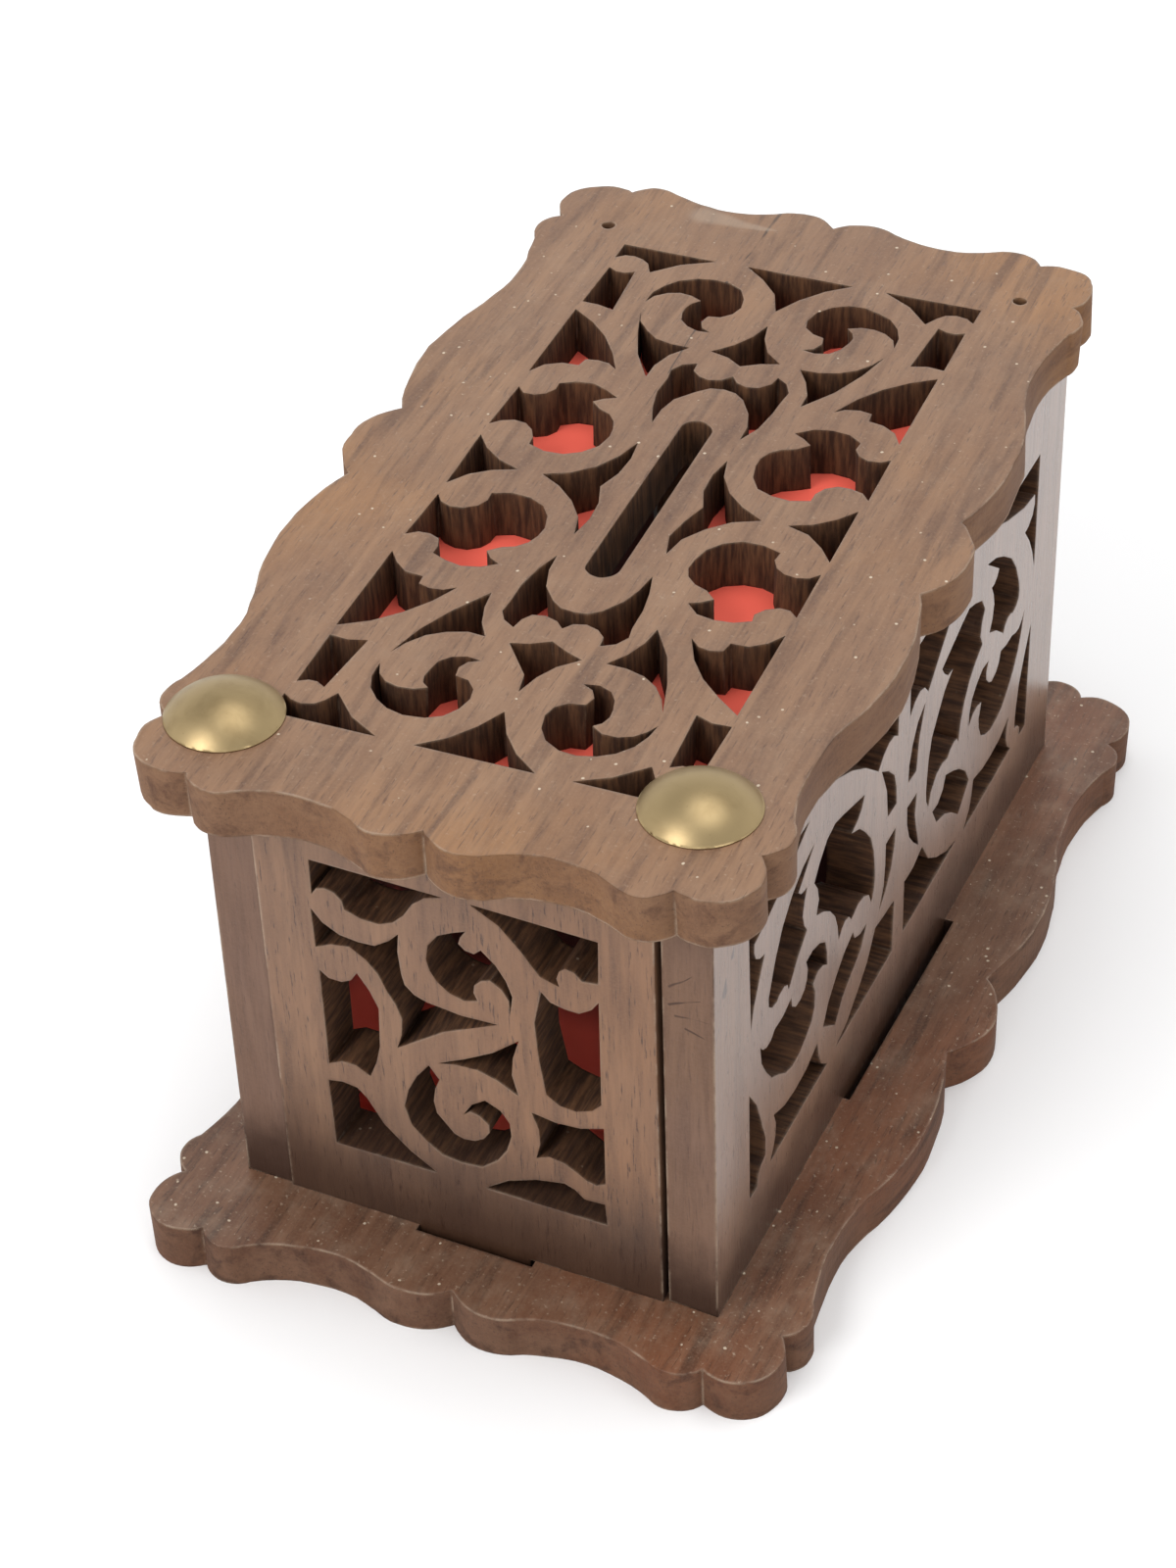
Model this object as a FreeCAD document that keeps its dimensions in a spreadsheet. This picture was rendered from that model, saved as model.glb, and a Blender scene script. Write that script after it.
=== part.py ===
"""Fret-sawn wooden money box: a carcass of four pierced walls tenoned into a scalloped base,
and a scalloped, pierced lid with a coin slot, pinned down by dome-headed nails.

Millimetres, +Z up. The origin is the middle of the base plate's underside, where the box stands.
+Y runs along the box, from the end with the dome nails to the end where the nails are missing.
"""
import FreeCAD, Part
import math
import os

Vector = FreeCAD.Vector
Rotation = FreeCAD.Rotation

os.makedirs("parts", exist_ok=True)
doc = FreeCAD.newDocument("MoneyBox")

# Driving sizes

SIZES = [
    ("board", 7.0, "thickness of every sawn board"),
    ("paper", 0.3, "thickness of the red lining paper"),
    ("box_width", 70.0, "carcass, outside to outside of the side walls"),
    ("box_length", 129.5, "carcass, outside to outside of the end walls"),
    ("wall_height", 72.0, "from the base plate up to the lid"),
    ("box_shift_x", -0.6, "carcass off the middle of the base plate, sideways"),
    ("box_shift_y", -2.2, "carcass off the middle of the base plate, lengthways"),
    ("end_wall_slack", 0.8, "open joint beside one edge of each end wall"),
    ("end_wall_proud", 0.4, "how far the end walls stand out past the side walls"),
    ("lid_width", 86.0, "lid across its ogee crests"),
    ("lid_length", 151.0, "lid from crest to crest"),
    ("lid_turn", 2.4, "degrees that the lid has swung round on the carcass"),
    ("lid_shift_x", -1.4, "lid off the middle of the carcass, sideways"),
    ("lid_shift_y", -0.5, "lid off the middle of the carcass, lengthways"),
    ("base_width", 94.5, "base plate across its ogee crests"),
    ("base_length", 157.0, "base plate from crest to crest"),
    ("base_left_runout", 6.0, "base's front left corner, further to the front than drawn"),
    ("corner_lobe", 11.2, "length of plate edge that a corner lobe takes at an end"),
    ("side_lobe", 11.8, "length of plate edge that a corner lobe takes at a side"),
    ("notch_depth", 2.4, "depth of the notch beside a lobe, at an end"),
    ("side_notch_depth", 3.9, "depth of the notch beside a lobe, at a side"),
    ("bump_length", 6.9, "length of the small bump next to a corner lobe"),
    ("ogee_dip", 2.7, "depth of the hollow of an end's ogee"),
    ("side_ogee_dip", 3.9, "depth of the hollow of a side's ogee"),
    ("cleft_depth", 2.2, "depth of the cleft in the middle of an end"),
    ("middle_lobe", 16.8, "width of the lobe in the middle of a side"),
    ("middle_lobe_rise", 1.2, "how far that lobe passes the ogee crests"),
    ("lid_fret_width", 54.3, "pierced field of the lid"),
    ("lid_fret_length", 117.9, "pierced field of the lid"),
    ("slot_length", 38.0, "coin slot"),
    ("slot_width", 4.6, "coin slot"),
    ("end_fret_width", 39.8, "pierced field of an end wall"),
    ("end_fret_height", 49.7, "pierced field of an end wall"),
    ("end_fret_foot", 11.2, "solid rail under the pierced field of an end wall"),
    ("side_fret_length", 108.0, "pierced field of a side wall"),
    ("side_fret_height", 49.2, "pierced field of a side wall"),
    ("side_fret_foot", 11.9, "solid rail under the pierced field of a side wall"),
    ("end_tenon", 16.6, "width of the tenon under an end wall"),
    ("side_tenon", 40.0, "width of the tenon under a side wall"),
    ("tenon_short", 0.3, "how far a tenon stops above the plate's underside"),
    ("mortise_ease", 0.4, "mortise longer than its tenon, at each end"),
    ("mortise_slit", 1.1, "mortise open outside the wall's face"),
    ("lining_margin", 0.7, "paper beyond the pierced field, at each edge"),
    ("paper_ease", 0.4, "paper cut back from what it fits in or round"),
    ("left_nail_x", -32.4, "hole of the front left nail, from the middle of the lid"),
    ("left_nail_y", -61.5, "hole of the front left nail, from the middle of the lid"),
    ("right_nail_x", 29.2, "hole of the front right nail, from the middle of the lid"),
    ("right_nail_y", -58.2, "hole of the front right nail, from the middle of the lid"),
    ("rear_hole_x", 31.6, "holes of the missing nails, off the middle of the lid sideways"),
    ("rear_hole_y", 63.2, "holes of the missing nails, off the middle of the lid lengthways"),
    ("pin_diameter", 2.0, "shank of a dome nail"),
    ("pin_play", 0.05, "radial clearance of a shank in its holes"),
    ("pin_length", 21.0, "shank below the lid's top"),
    ("pin_point", 3.0, "length of the shank's sharpened end"),
    ("bore_extra", 1.0, "nail hole deeper than the nail reaches"),
    ("cap_diameter", 15.6, "brass cap across its rim"),
    ("cap_rise", 3.7, "brass cap from its rim to its crown"),
    ("saw_sag", 0.15, "a fret's round cut is sawn as straight cuts, this close to the round"),
]

sheet = doc.addObject("Spreadsheet::Sheet", "Sizes")
for row, (name, value, meaning) in enumerate(SIZES, start=1):
    sheet.set(f"A{row}", name)
    sheet.set(f"B{row}", str(value))
    sheet.set(f"C{row}", meaning)
    sheet.setAlias(f"B{row}", name)
doc.recompute()


def size(name):
    """A driving size, read from its cell."""
    return float(sheet.get(name))


DOME_RINGS = 5

# Heights of the seats between the boards

BASE_TOP = "Sizes.board"
WALL_TOP = "Sizes.board + Sizes.wall_height"
LID_UNDERSIDE = WALL_TOP + " + Sizes.paper"
LID_TOP = LID_UNDERSIDE + " + Sizes.board"

# The fret drawings are on squared paper. A hole is a list of corners, walked round it: (x, y) is
# reached by a straight cut, and (via_x, via_y, x, y) by a round cut through the first point.
# Each drawing is stretched from its own field of squares to the pierced field of its board.

# The lid's drawing shows one quarter, from the middle of the lid to a corner of the field.
LID_SQUARES = (39.0, 85.0)
LID_QUARTER_HOLES = [
    # corner spandrel over the scroll's leaf
    [(39, 85), (39, 79.4), (35.4, 81.2, 31.6, 79), (30, 76.2), (25.4, 80.8, 18.6, 85)],
    # slot beside the volute
    [(39, 75.4), (36, 74.2, 33, 75.4), (32.4, 68, 32, 60.2), (35.4, 61.2, 39, 61)],
    # long spandrel behind the stem
    [(39, 57.6), (39, 33), (35.6, 37.2, 30.4, 38.5), (30.2, 41), (26.6, 41.4, 23.2, 39.4),
     (29.6, 50, 39, 57.6)],
    # leaf between the volute and the stem
    [(26.3, 61.8), (22.6, 49.6, 16.6, 38.8), (15.4, 46, 11.8, 51.6), (20.4, 53.4, 26.3, 61.8)],
    # volute, its curling tail and the eye round the bulb
    [(27, 65.4), (24.8, 73.2, 16.5, 77.8), (9.6, 75.4, 7.3, 69.4), (8.8, 65.6, 12.6, 64.2),
     (13, 61.2, 10, 58.6), (15.6, 59.4, 17.8, 64), (17.8, 66.8, 16, 69.2), (21.6, 70.6, 27, 65.4)],
    # inside of the C-scroll, between its two bulbs
    [(18.8, 29.8), (25, 32.8, 31.8, 30.8), (33.2, 26, 39, 27), (39, 12.8), (32.4, 15.2, 29, 9),
     (19.6, 8.8, 15.2, 16.4), (16.2, 21.8, 20.6, 24.8), (22.8, 26.8), (21, 28.6, 18.8, 29.8)],
]
LID_HOLES_ACROSS_X = [
    # spandrel at the end of the field, between the volutes
    [(11.6, 85), (5, 79.4, 0, 70.8), (-5, 79.4, -11.6, 85)],
    # spade under the meeting of the volutes
    [(0, 64.6), (2.8, 57, 7.2, 52.2), (3.4, 51, 0, 49), (-3.4, 51, -7.2, 52.2), (-2.8, 57, 0, 64.6)],
    # horseshoe round the end of the coin slot's ring
    [(9.4, 24), (11.8, 32.4, 12.2, 40), (11.4, 45.2, 8.4, 47.2), (5.4, 42.2, 0, 44.8),
     (-5.4, 42.2, -8.4, 47.2), (-11.4, 45.2, -12.2, 40), (-11.8, 32.4, -9.4, 24),
     (-8.2, 32, -5, 37.2), (0, 39.4, 5, 37.2), (8.2, 32, 9.4, 24)],
]
LID_HOLES_ACROSS_Y = [
    # spandrel at the edge of the field, between the C-scrolls
    [(39, 8.8), (34.6, 3.4, 27.6, 0), (34.6, -3.4, 39, -8.8)],
    # bow between the C-scrolls and the coin slot's ring
    [(22.4, 0), (13.8, 6, 9.2, 16.4), (8.4, 8, 10.6, 0), (8.4, -8, 9.2, -16.4), (13.8, -6, 22.4, 0)],
]

# The end wall's drawing shows all of its field, seen from outside and counted up from the table.
END_SQUARES = ((-28.4, 28.4), (26.0, 97.0))
END_HOLES = [
    [(-28.4, 96.9), (-1.4, 96.9), (-6.4, 94.6, -9.6, 89.8), (-16, 85.8, -21.8, 87),
     (-24.2, 91.2, -28.4, 89)],
    [(-28.4, 85.2), (-20, 80.1, -10.8, 85), (-11.6, 80, -10.8, 75.4), (-9.2, 71.4, -6.3, 70),
     (0.8, 69, 7.8, 69.6), (-3.6, 63.6, -13.4, 56.6), (-11.6, 63.6, -14.3, 70),
     (-17, 75, -21.4, 78), (-25, 77.4, -28.4, 75.6)],
    [(3, 90.4), (-3.4, 86.8, -5.7, 80.6), (-3, 75, 4.2, 74.2), (4, 77.8, 7, 79.9),
     (9.4, 78.2, 10.4, 73.4), (10, 81.8, 5.4, 86.4), (2, 85.6, 1.5, 88.4)],
    [(4.2, 96.9), (28.4, 96.6), (28.4, 86.8), (25.4, 86.6), (22.8, 88, 20.8, 83.4), (16.8, 84.6),
     (12, 91.6, 4.2, 96.9)],
    [(-28.4, 70.4), (-24.6, 68.4, -20.4, 72.2), (-17, 67, -16.7, 60), (-17.2, 52.6, -19.8, 46.4),
     (-24, 48.4, -28.4, 46.8)],
    [(17, 81), (21.6, 78, 28.4, 82.4), (28.4, 57.2), (22.6, 53.6, 17.2, 55.6), (15.6, 66, 17, 81)],
    [(-28.4, 42), (-24, 42.6, -20.5, 40.4), (-15.6, 32.6, -6.8, 26), (-28.4, 26)],
    [(11.8, 67), (4, 60.4, -5.2, 55.2), (3, 56.4, 11.2, 53.2), (10.2, 59.6, 11.8, 67)],
    [(-6.9, 54), (-11, 47.4, -12.3, 41.2), (-9.2, 34, -1.4, 30.6), (6.6, 34.6, 9.4, 42),
     (8.2, 47, 4.8, 48.9), (2, 47, -0.2, 43.6), (3.6, 44.6, 4.8, 41.2), (1.2, 37.4, -4.2, 39.8),
     (-6.6, 45, -5, 51.2)],
    [(14, 49.6), (22, 49, 28.4, 51.2), (28.4, 36.8), (25.6, 36, 23, 37.6), (18.6, 39.6, 14.3, 38),
     (15.4, 44, 14, 49.6)],
    [(3.6, 26), (11, 31.2, 20, 33.9), (22.4, 33, 23.6, 31.2), (28.4, 31.2), (28.4, 26)],
]

# The side wall's drawing shows one half, from the wall's middle to one end of its field, counted
# up from the table.
SIDE_SQUARES = (75.0, (27.0, 97.2))
SIDE_HALF_HOLES = [
    [(75, 97.2), (47.4, 97.2), (57.6, 92.6, 66, 89.6), (72.8, 88.8), (72.2, 84.6, 68, 82.6),
     (71.8, 77, 74.8, 69)],
    [(35, 97.2), (22.4, 89.8, 13, 82), (7.6, 85.2, 3, 83), (3, 97.2)],
    [(11.3, 80.2), (5.4, 75.4, 3, 66.2), (7.4, 66.2), (8.8, 74, 11.3, 80.2)],
    [(3, 60), (8, 60), (8.2, 52.4, 10.8, 44.8), (5, 51.4, 3, 60)],
    [(12.6, 42.2), (8, 41.2, 3, 41), (3, 28), (33, 28), (20.8, 33, 12.6, 42.2)],
    [(75, 54), (70.6, 45.4, 67.8, 36), (67.8, 31.6), (70.6, 30, 71.4, 27), (75, 27)],
    [(45, 90), (58.6, 82.8, 65.5, 71.4), (65.6, 67.4, 62.8, 65.6), (59.6, 66.8, 56.6, 64.4),
     (52.8, 68, 47.9, 71.4), (50.2, 76, 48.2, 81.8), (51, 82.2, 52.6, 84), (49.4, 86.4, 45, 90)],
    [(44.6, 79.8), (39.4, 85, 31, 85.4), (20.4, 82), (22.4, 79, 26.6, 77.2), (18, 70.6, 14, 58.6),
     (13.8, 54.4, 15.2, 50.8), (19.6, 56, 25.7, 55.3), (28.8, 57.2, 32, 55), (34.6, 63.6, 40.4, 69),
     (43.8, 71.2), (42.6, 75.6, 44.6, 79.8)],
    [(70.2, 61.4), (66.8, 58.6, 63, 59.8), (59.6, 59.4, 56, 60.6), (51.4, 56.4, 48.4, 63.4),
     (42.6, 63, 38, 54), (41.2, 56, 45, 55), (44.2, 49, 48, 44.4), (55, 43, 61.2, 46.2),
     (67.4, 52.6, 70.2, 61.4)],
    [(25, 51.2), (33.4, 46.8, 39.4, 39.4), (33.4, 34.6), (27.6, 40, 20.6, 43), (18, 47.4),
     (21.6, 47.4, 25, 51.2)],
    [(63.6, 38), (55, 35.2, 42.4, 37.2), (41.4, 31.8, 37.4, 27.4), (65.6, 27.4),
     (62.8, 32, 63.6, 38)],
]


# Drawing

def drawn_edges(steps, place):
    """Edges of one closed cut. place turns a point of the drawing into one of the board."""
    edges = []
    start = place(*steps[0])
    here = start
    for step in steps[1:]:
        there = place(*step[-2:])
        if len(step) == 4:
            edges.append(Part.ArcOfCircle(here, place(*step[:2]), there))
        else:
            edges.append(Part.LineSegment(here, there))
        here = there
    if here.distanceToPoint(start) > 1e-6:
        edges.append(Part.LineSegment(here, start))
    return edges


def sawn_edges(steps, place):
    """The same cut as a hand saw makes it: each round stretch in short straight cuts."""
    edges = []
    for edge in drawn_edges(steps, place):
        if edge.TypeId == "Part::GeomLineSegment":
            edges.append(edge)
            continue
        cut_length = math.sqrt(8 * size("saw_sag") * edge.Radius)
        points = edge.discretize(math.ceil(edge.length() / cut_length) + 1)
        edges += [Part.LineSegment(a, b) for a, b in zip(points, points[1:])]
    return edges


def new_body(name):
    body = doc.addObject("PartDesign::Body", name)
    body.Label = name
    return body


def plane_of(body, role):
    return [plane for plane in body.Origin.OriginFeatures if plane.Role == role][0]


def flat_sketch(body, name, edges, height=None):
    """A sketch on the board's own drawing plane, or at a height above it given as an expression."""
    sketch = body.newObject("Sketcher::SketchObject", name)
    sketch.AttachmentSupport = [(plane_of(body, "XY_Plane"), "")]
    sketch.MapMode = "FlatFace"
    if height:
        sketch.setExpression("AttachmentOffset.Base.z", height)
    sketch.addGeometry(edges, False)
    return sketch


def pad(body, name, edges, length):
    feature = body.newObject("PartDesign::Pad", name)
    feature.Profile = flat_sketch(body, name + "_outline", edges)
    feature.setExpression("Length", length)
    return feature


def cut_through(body, name, edges):
    """A cut right through the board, upwards from its drawing plane."""
    feature = body.newObject("PartDesign::Pocket", name)
    feature.Profile = flat_sketch(body, name + "_outline", edges)
    feature.Type = "ThroughAll"
    feature.Reversed = True
    return feature


def box_edges(x0, y0, x1, y1):
    corners = [(x0, y0), (x1, y0), (x1, y1), (x0, y1)]
    return drawn_edges(corners, lambda x, y: Vector(x, y, 0))


def round_edge(x, y, radius):
    return [Part.Circle(Vector(x, y, 0), Vector(0, 0, 1), radius)]


def slot_edges(length, width):
    """A straight slot along Y with half-round ends, about the middle of the board."""
    side = width / 2
    end = length / 2
    return drawn_edges(
        [(side, side - end), (side, end - side), (0, end, -side, end - side), (-side, side - end),
         (0, -end, side, side - end)],
        lambda x, y: Vector(x, y, 0))


def place_board(body, rotation, x, y, z):
    """Stands the finished board in the box. x, y and z are expressions of the sheet."""
    body.Placement = FreeCAD.Placement(Vector(), rotation)
    body.setExpression("Placement.Base.x", x)
    body.setExpression("Placement.Base.y", y)
    body.setExpression("Placement.Base.z", z)


# Scalloped plates

def scalloped_outline(width, length):
    """Outline of the base or lid: corner lobes, ogees to a cleft at the ends, and to a lobe
    in the middle of each side. The quarter is drawn from the end's cleft to the side's lobe."""
    half_w = width / 2
    half_l = length / 2
    lobe = size("corner_lobe")
    side_lobe = size("side_lobe")
    notch = size("notch_depth")
    side_notch = size("side_notch_depth")
    bump = size("bump_length")
    dip = size("ogee_dip")
    side_dip = size("side_ogee_dip")
    middle = size("middle_lobe") / 2
    rise = size("middle_lobe_rise")
    # the ogee at the end: crest beside the cleft, hollow, then the bump next to the lobe
    end_run = half_w - lobe - bump
    end_ogee = [
        (end_run * 0.14, half_l + 0.1, end_run * 0.32, half_l - 0.1 * dip),
        (end_run * 0.72, half_l - dip, end_run, half_l - 0.25 * dip),
        (end_run + 0.55 * bump, half_l, half_w - lobe, half_l - notch),
    ]
    corner = [
        (half_w - 0.33 * lobe, half_l - 0.3 * side_lobe, half_w - side_notch, half_l - side_lobe),
        (half_w - 0.42 * side_notch, half_l - side_lobe - 0.36 * bump,
         half_w - 0.6 * side_notch, half_l - side_lobe - bump),
    ]
    side_top = half_l - side_lobe - bump
    side_run = side_top - middle
    side_ogee = [
        (half_w - side_dip, side_top - 0.2 * side_run, half_w - 0.7 * side_dip,
         side_top - 0.4 * side_run),
        (half_w, middle + 0.3 * side_run, half_w - 0.7 * side_dip, middle),
    ]
    quarter = end_ogee + corner + side_ogee
    start = (0, half_l - size("cleft_depth"))
    middle_lobe = (half_w + rise, 0, half_w - 0.7 * side_dip, -middle)
    right = quarter + [middle_lobe] + walked_back([start] + quarter, 1, -1)
    left = walked_back([start] + right, -1, 1)
    return [start] + right + left


def walked_back(steps, flip_x, flip_y):
    """The same cuts mirrored and walked the other way, from the last corner to the first."""
    back = []
    for before, step in zip(reversed(steps[:-1]), reversed(steps[1:])):
        target = (before[-2] * flip_x, before[-1] * flip_y)
        if len(step) == 4:
            back.append((step[0] * flip_x, step[1] * flip_y) + target)
        else:
            back.append(target)
    return back


def scalloped_plate(body, width, length, place=lambda x, y: Vector(x, y, 0)):
    edges = drawn_edges(scalloped_outline(width, length), place)
    return pad(body, "board", edges, "Sizes.board")


def nail_hole(hand):
    """A front nail's hole, on the lid's own drawing."""
    return Vector(size(hand + "_nail_x"), size(hand + "_nail_y"), 0)


def nail_spot(hand):
    """Where a dome nail stands in the box: its hole, carried along by the lid's turn."""
    return lid_placement().multVec(nail_hole(hand))


def base_place(x, y):
    """The base was sawn off its lines at the front left, where the cut runs out."""
    if x < 0 and y < 0:
        across = x / (size("base_width") / 2)
        along = y / (size("base_length") / 2)
        y += size("base_left_runout") * across**2 * along
    return Vector(x, y, 0)


def make_base():
    body = new_body("base_plate")
    scalloped_plate(body, size("base_width"), size("base_length"), base_place)
    x = size("box_shift_x")
    y = size("box_shift_y")
    half_w = size("box_width") / 2
    half_l = size("box_length") / 2
    side_half = size("side_tenon") / 2 + size("mortise_ease")
    end_half = size("end_tenon") / 2 + size("mortise_ease")
    board = size("board")
    slit = size("mortise_slit")
    proud = size("end_wall_proud")
    mortises = []
    for side in (-1, 1):
        inner, outer = sorted((side * (half_w - board), side * (half_w + slit)))
        mortises += box_edges(x + inner, y - side_half, x + outer, y + side_half)
        inner, outer = sorted((side * (half_l + proud - board), side * (half_l + proud + slit)))
        mortises += box_edges(x - end_half, y + inner, x + end_half, y + outer)
    cut_through(body, "mortises", mortises)
    return body


def make_lid():
    body = new_body("lid_plate")
    scalloped_plate(body, size("lid_width"), size("lid_length"))
    scale_x = size("lid_fret_width") / 2 / LID_SQUARES[0]
    scale_y = size("lid_fret_length") / 2 / LID_SQUARES[1]
    fret = []
    for flip_x in (1, -1):
        for flip_y in (1, -1):
            for hole in LID_QUARTER_HOLES:
                fret += sawn_edges(
                    hole, lambda x, y: Vector(x * flip_x * scale_x, y * flip_y * scale_y, 0))
    for flip in (1, -1):
        for hole in LID_HOLES_ACROSS_X:
            fret += sawn_edges(hole, lambda x, y: Vector(x * scale_x, y * flip * scale_y, 0))
        for hole in LID_HOLES_ACROSS_Y:
            fret += sawn_edges(hole, lambda x, y: Vector(x * flip * scale_x, y * scale_y, 0))
    cut_through(body, "fret", fret)
    cut_through(body, "coin_slot", slot_edges(size("slot_length"), size("slot_width")))
    hole_radius = size("pin_diameter") / 2 + size("pin_play")
    holes = []
    for side in (-1, 1):
        holes += round_edge(side * size("rear_hole_x"), size("rear_hole_y"), hole_radius)
    for hand in ("left", "right"):
        hole = nail_hole(hand)
        holes += round_edge(hole.x, hole.y, hole_radius)
    cut_through(body, "nail_holes", holes)
    seat_lid_piece(body, LID_UNDERSIDE)
    return body


def lid_placement():
    x = size("box_shift_x") + size("lid_shift_x")
    y = size("box_shift_y") + size("lid_shift_y")
    return FreeCAD.Placement(Vector(x, y, 0), Rotation(Vector(0, 0, 1), size("lid_turn")))


def seat_lid_piece(body, height):
    """The lid and its paper sit slightly turned and shifted on the carcass."""
    place_board(body, lid_placement().Rotation, "Sizes.box_shift_x + Sizes.lid_shift_x",
                "Sizes.box_shift_y + Sizes.lid_shift_y", height)


# Walls

def wall_blank(width, tenon):
    """A wall's outline on its drawing: the tenon points down, the wall's foot is at y = 0."""
    half = width / 2
    tongue = tenon / 2
    depth = size("board") - size("tenon_short")
    height = size("wall_height")
    corners = [(-half, 0), (-tongue, 0), (-tongue, -depth), (tongue, -depth), (tongue, 0),
               (half, 0), (half, height), (-half, height)]
    return drawn_edges(corners, lambda x, y: Vector(x, y, 0))


def make_side_wall(hand, side):
    body = new_body(hand + "_side")
    pad(body, "board", wall_blank(size("box_length"), size("side_tenon")), "Sizes.board")
    half_squares, (low, high) = SIDE_SQUARES
    scale_x = size("side_fret_length") / 2 / half_squares
    scale_y = size("side_fret_height") / (high - low)
    foot = size("side_fret_foot")
    fret = []
    for flip in (1, -1):
        for hole in SIDE_HALF_HOLES:
            fret += sawn_edges(
                hole, lambda x, y: Vector(x * flip * scale_x, foot + (y - low) * scale_y, 0))
    cut_through(body, "fret", fret)
    inner_face = size("box_width") / 2 - size("board")
    spot = nail_spot(hand)
    across = side * (spot.x - size("box_shift_x")) - inner_face
    nail_hole_in_wall(body, "front_nail_hole", side * (spot.y - size("box_shift_y")), across)
    # the missing nail went in when the lid still sat straight
    across = size("rear_hole_x") - inner_face
    nail_hole_in_wall(body, "rear_nail_hole", side * size("rear_hole_y"), across)
    turn = Rotation(Vector(1, 1, 1), 120)
    if side < 0:
        turn = Rotation(Vector(0, 0, 1), 180).multiply(turn)
    place_board(body, turn, f"Sizes.box_shift_x + {side} * (Sizes.box_width / 2 - Sizes.board)",
                "Sizes.box_shift_y", BASE_TOP)
    return body


def nail_hole_in_wall(body, name, along, across):
    """A blind hole down from the wall's top edge, off its inner face by across."""
    feature = body.newObject("PartDesign::Pocket", name)
    sketch = body.newObject("Sketcher::SketchObject", name + "_outline")
    sketch.AttachmentSupport = [(plane_of(body, "XZ_Plane"), "")]
    sketch.MapMode = "FlatFace"
    sketch.setExpression("AttachmentOffset.Base.z", "-Sizes.wall_height")
    radius = size("pin_diameter") / 2 + size("pin_play")
    sketch.addGeometry(round_edge(along, across, radius), False)
    feature.Profile = sketch
    feature.Type = "Length"
    feature.setExpression(
        "Length", "Sizes.pin_length + Sizes.bore_extra - Sizes.board - Sizes.paper")
    feature.Reversed = True
    return feature


def make_end_wall(name, end):
    """An end wall between the side walls, close against one of them and open beside the other."""
    body = new_body(name)
    width = size("box_width") - 2 * size("board") - size("end_wall_slack")
    pad(body, "board", wall_blank(width, size("end_tenon")), "Sizes.board")
    (left, right), (low, high) = END_SQUARES
    scale_x = size("end_fret_width") / (right - left)
    scale_y = size("end_fret_height") / (high - low)
    foot = size("end_fret_foot")
    fret = []
    for hole in END_HOLES:
        fret += sawn_edges(hole, lambda x, y: Vector(x * scale_x, foot + (y - low) * scale_y, 0))
    cut_through(body, "fret", fret)
    turn = Rotation(Vector(1, 0, 0), 90)
    if end > 0:
        turn = Rotation(Vector(0, 0, 1), 180).multiply(turn)
    inner_face = "(Sizes.box_length / 2 + Sizes.end_wall_proud - Sizes.board)"
    place_board(body, turn, f"Sizes.box_shift_x + {end} * Sizes.end_wall_slack / 2",
                f"Sizes.box_shift_y + {end} * {inner_face}", BASE_TOP)
    return body


# Linings

def make_lid_lining():
    body = new_body("lid_lining")
    half_w = size("lid_fret_width") / 2 + size("lining_margin")
    half_l = size("lid_fret_length") / 2 + size("lining_margin")
    pad(body, "paper", box_edges(-half_w, -half_l, half_w, half_l), "Sizes.paper")
    ease = 2 * size("paper_ease")
    slot = slot_edges(size("slot_length") + ease, size("slot_width") + ease)
    cut_through(body, "coin_slot", slot)
    seat_lid_piece(body, WALL_TOP)
    return body


def make_flat_lining(name, width, height, rotation, x, y, z):
    """A plain rectangle of paper, lying or standing on its long edge, at its own middle."""
    body = new_body(name)
    pad(body, "paper", box_edges(-width / 2, -height / 2, width / 2, height / 2), "Sizes.paper")
    place_board(body, rotation, x, y, z)
    return body


def make_linings():
    ease = size("paper_ease")
    inner_width = size("box_width") - 2 * size("board")
    inner_length = size("box_length") + 2 * size("end_wall_proud") - 2 * size("board")
    inner_height = size("wall_height")
    upright = f"{BASE_TOP} + Sizes.wall_height / 2 + Sizes.paper / 2"
    left = make_flat_lining(
        "left_lining", inner_length - 2 * ease, inner_height - 2 * ease, Rotation(Vector(1, 1, 1), 120),
        "Sizes.box_shift_x - Sizes.box_width / 2 + Sizes.board", "Sizes.box_shift_y", upright)
    floor = make_flat_lining(
        "floor_lining", inner_width - 2 * ease, inner_length - 2 * ease, Rotation(),
        "Sizes.box_shift_x", "Sizes.box_shift_y", BASE_TOP)
    return [left, floor]


# Dome nails

def turned(body, name, outline):
    """A solid of revolution about the nail's axis. The outline's points are (radius, height)."""
    sketch = body.newObject("Sketcher::SketchObject", name + "_outline")
    sketch.AttachmentSupport = [(plane_of(body, "XZ_Plane"), "")]
    sketch.MapMode = "FlatFace"
    sketch.addGeometry(drawn_edges(outline, lambda x, y: Vector(x, y, 0)), False)
    feature = body.newObject("PartDesign::Revolution", name)
    feature.Profile = sketch
    feature.ReferenceAxis = (sketch, ["V_Axis"])
    feature.Angle = 360
    return feature


def make_cap(hand):
    """The brass dome, part of a sphere that is turned in narrow rings from rim to crown."""
    body = new_body(f"{hand}_nail_cap")
    rim = size("cap_diameter") / 2
    rise = size("cap_rise")
    sphere = (rim * rim + rise * rise) / (2 * rise)
    rim_angle = math.asin(rim / sphere)
    rings = []
    for ring in range(DOME_RINGS):
        angle = rim_angle * (1 - ring / (DOME_RINGS - 0.5))
        rings.append((sphere * math.sin(angle), rise - sphere * (1 - math.cos(angle))))
    crown = (0, rings[-1][1])
    turned(body, "dome", [(0, 0)] + rings + [crown])
    spot = nail_spot(hand)
    place_board(body, Rotation(), str(spot.x), str(spot.y), LID_TOP)
    return body


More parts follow.
